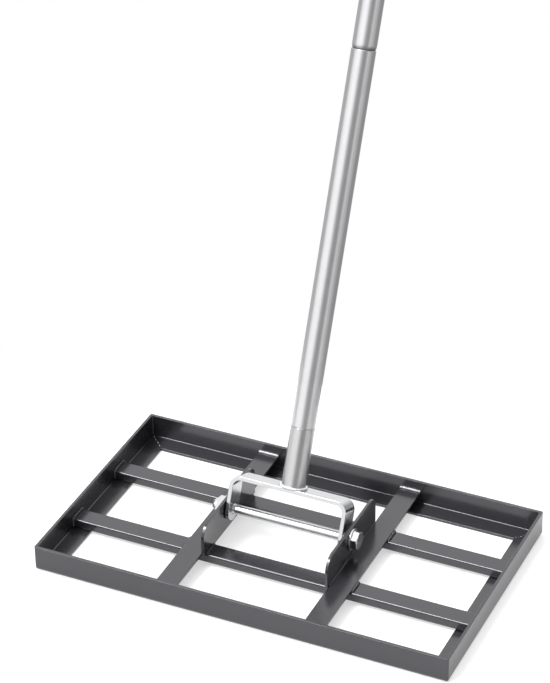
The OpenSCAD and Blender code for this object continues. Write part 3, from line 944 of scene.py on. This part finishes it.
grip_pole_outline = [
    (grip_radius - pole_wall, grip_foot), (grip_radius - foot_round, grip_foot),
    (grip_radius, grip_foot + foot_rise), (grip_radius, taper_foot)]
for i in range(1, grip_taper_steps + 1):
    share = i / grip_taper_steps
    drawn_in = (grip_radius - tail_radius) * (0.5 + 0.5 * math.cos(math.pi * share))
    grip_pole_outline.append((tail_radius + drawn_in, taper_foot + grip_taper * share))
grip_pole_outline += [
    (tail_radius, grip_seat + tail_length), (tail_radius - pole_wall, grip_seat + tail_length),
    (tail_radius - pole_wall, grip_seat), (grip_radius - pole_wall, taper_foot)]
turned_piece("satin_grip_pole", grip_pole_outline, pole_steel, "pole_steel", "grip_pole")

for node in ("upper_pole_collar", "grip_pole_plug"):
    finish_solid(node, plug_plastic)


# Hand grip: soft plastic moulded in one piece and pushed over the tube's tail. It has a flared
# foot, a raised ring, a swelling barrel between two waists, and a domed cap.
grip_length = 94 * mm
grip_bore = tail_radius + 0.1 * mm
flare = 12.25 * mm
waist = 9.6 * mm
barrel = 11 * mm
barrel_foot = 16 * mm
barrel_top = 75 * mm
barrel_fullness = 0.45
barrel_heights = (16, 20, 24, 28, 34, 40, 47, 54, 60, 66, 71, 75)
rim_round = 0.9 * mm
ring_height = 11 * mm
ring_round = 0.6 * mm
cap_height = 8 * mm
cap_round = 0.7 * mm
cap_foot = grip_length - cap_height


def barrel_radius(height):
    """Radius of the grip's barrel between its two waists."""
    share = (height - barrel_foot) / (barrel_top - barrel_foot)
    if not 0 < share < 1:
        return waist
    return waist + (barrel - waist) * math.sin(math.pi * share) ** barrel_fullness


grip_outline = [(grip_bore, 0), (flare - rim_round, 0)]
grip_outline += arc(flare - rim_round, rim_round, rim_round, -90, 40, 6)
grip_outline += [
    (flare - 0.8 * mm, 3 * mm), (waist + 0.9 * mm, 5.6 * mm),
    (waist + 0.25 * mm, 7 * mm), (waist, 8.6 * mm)]
grip_outline += arc(waist, ring_height, ring_round, -90, 90, 6)
grip_outline += [(waist, ring_height + 2 * mm)]
grip_outline += [(barrel_radius(height * mm), height * mm) for height in barrel_heights]
grip_outline += [(waist, 79 * mm), (waist + 0.35 * mm, 81 * mm), (waist + 1.3 * mm, 83.3 * mm)]
grip_outline += arc(flare - cap_round, cap_foot - 0.4 * mm, cap_round, -60, 40, 5)
dome_radius = (flare ** 2 + cap_height ** 2) / (2 * cap_height)
dome_start = math.degrees(math.acos((flare - 0.2 * mm) / dome_radius))
grip_outline += arc(0, grip_length - dome_radius, dome_radius, dome_start, 90, 10)[1:]
grip_outline += [(0, tail_length), (grip_bore, tail_length)]
turned_piece("moulded_grip", [(r, grip_seat + z) for r, z in grip_outline], grip_plastic,
             "grip_plastic", "hand_grip")


# Studio: a plain pale floor that glows a little, in a soft grey room. Screens of light stand
# round the rake, the brightest high in front on the left, and a round light hangs above it.
floor_reach = 0.75
floor_shift = (-0.1, -0.35)
floor_drop = 0.2 * mm
floor_sides = 90
room_light = 0.42
screens = (
    # azimuth from the front towards the right, elevation, half width, soft edge, brightness
    (-33, 10, 32, 16, 1.0),
    (205, 36, 44, 16, 1.08),
    (-100, -20, 22, 10, 0.25),
    (0, 88, 30, 10, 0.7),
    (-38, 57, 9, 4, 23.0),
    (-27, 38, 9, 4, 4.4),
    (25, 4, 16, 9, -0.12),
    (65, -6, 8, 6, 0.75),
    (72, 9, 5, 4, 1.4),
    (92, -4, 9, 6, 0.5),
    (2, 26, 10, 7, 0.6),
    (22, 28, 12, 8, 0.28),
    (141, 20, 9, 5, 1.5),
)

floor_mesh = bpy.data.meshes.new("studio_floor")
last_side = 360 - 360 / floor_sides
floor_rim = [(*point, 0) for point in arc(*floor_shift, floor_reach, 0, last_side, floor_sides - 1)]
floor_mesh.from_pydata(floor_rim, [], [tuple(range(len(floor_rim)))])
floor = bpy.data.objects.new("studio_floor", floor_mesh)
bpy.context.scene.collection.objects.link(floor)
floor.location.z = -floor_drop
floor_finish, floor_shader = new_finish("pale_floor", (0.55, 0.55, 0.55), metallic=0, roughness=0.9)[:2]
floor_shader.inputs["Emission Color"].default_value = (1, 1, 1, 1)
floor_shader.inputs["Emission Strength"].default_value = 0.52
floor_mesh.materials.append(floor_finish)

world = bpy.data.worlds.new("studio")
bpy.context.scene.world = world
world.use_nodes = True
room = world.node_tree


def toward(azimuth, elevation):
    """Unit vector towards a place in the room, in degrees."""
    turn, rise = math.radians(azimuth), math.radians(elevation)
    return Vector((math.sin(turn) * math.cos(rise), -math.cos(turn) * math.cos(rise), math.sin(rise)))


looking = room.nodes.new("ShaderNodeTexCoord").outputs["Generated"]
light = room_light
for azimuth, elevation, half, edge, strength in screens:
    facing = room.nodes.new("ShaderNodeVectorMath")
    facing.operation = "DOT_PRODUCT"
    room.links.new(looking, facing.inputs[0])
    facing.inputs[1].default_value = toward(azimuth, elevation)
    fade = room.nodes.new("ShaderNodeMapRange")
    fade.interpolation_type = "SMOOTHSTEP"
    fade.inputs["From Min"].default_value = math.cos(math.radians(half + edge))
    fade.inputs["From Max"].default_value = math.cos(math.radians(half - edge))
    fade.inputs["To Max"].default_value = strength
    room.links.new(facing.outputs["Value"], fade.inputs["Value"])
    light = maths(room, "ADD", fade.outputs["Result"], light)
seen = room.nodes.new("ShaderNodeLightPath").outputs["Is Camera Ray"]
unseen = maths(room, "SUBTRACT", 1.0, seen)
white_when_seen = maths(room, "ADD", seen, maths(room, "MULTIPLY", unseen, light))
room.links.new(white_when_seen, room.nodes["Background"].inputs["Strength"])
room.nodes["Background"].inputs["Color"].default_value = (1, 1, 1, 1)

fill = bpy.data.lights.new("fill_light", "AREA")
fill.shape = "DISK"
fill.size = 0.9
fill.energy = 5.0
fill_height = 2.4
holder = bpy.data.objects.new("fill_light", fill)
holder.location = grid_middle + Vector((0, 0, fill_height))
bpy.context.scene.collection.objects.link(holder)


# Camera: the photograph's place and lens, fitted to the straight edges of the grid. Its place
# is measured from the grid's middle, and its right and up give the way it is turned.
camera_place = Vector((0.93209, -2.04308, 1.66877))
camera_right = Vector((0.9098, 0.4148, -0.0096))
camera_up = Vector((-0.2147, 0.4907, 0.8443))
camera_back = camera_right.cross(camera_up).normalized()
camera = bpy.data.cameras.new("photo_camera")
camera.sensor_width = 36.0
camera.lens = 149.78
camera.clip_start = 0.05
camera.clip_end = 60.0
viewer = bpy.data.objects.new("photo_camera", camera)
bpy.context.scene.collection.objects.link(viewer)
turned_to = Matrix((camera_right.normalized(), camera_up.normalized(), camera_back)).transposed()
viewer.matrix_world = Matrix.Translation(grid_middle + camera_place) @ turned_to.to_4x4()
bpy.context.scene.camera = viewer

bpy.context.scene.view_settings.view_transform = "Standard"
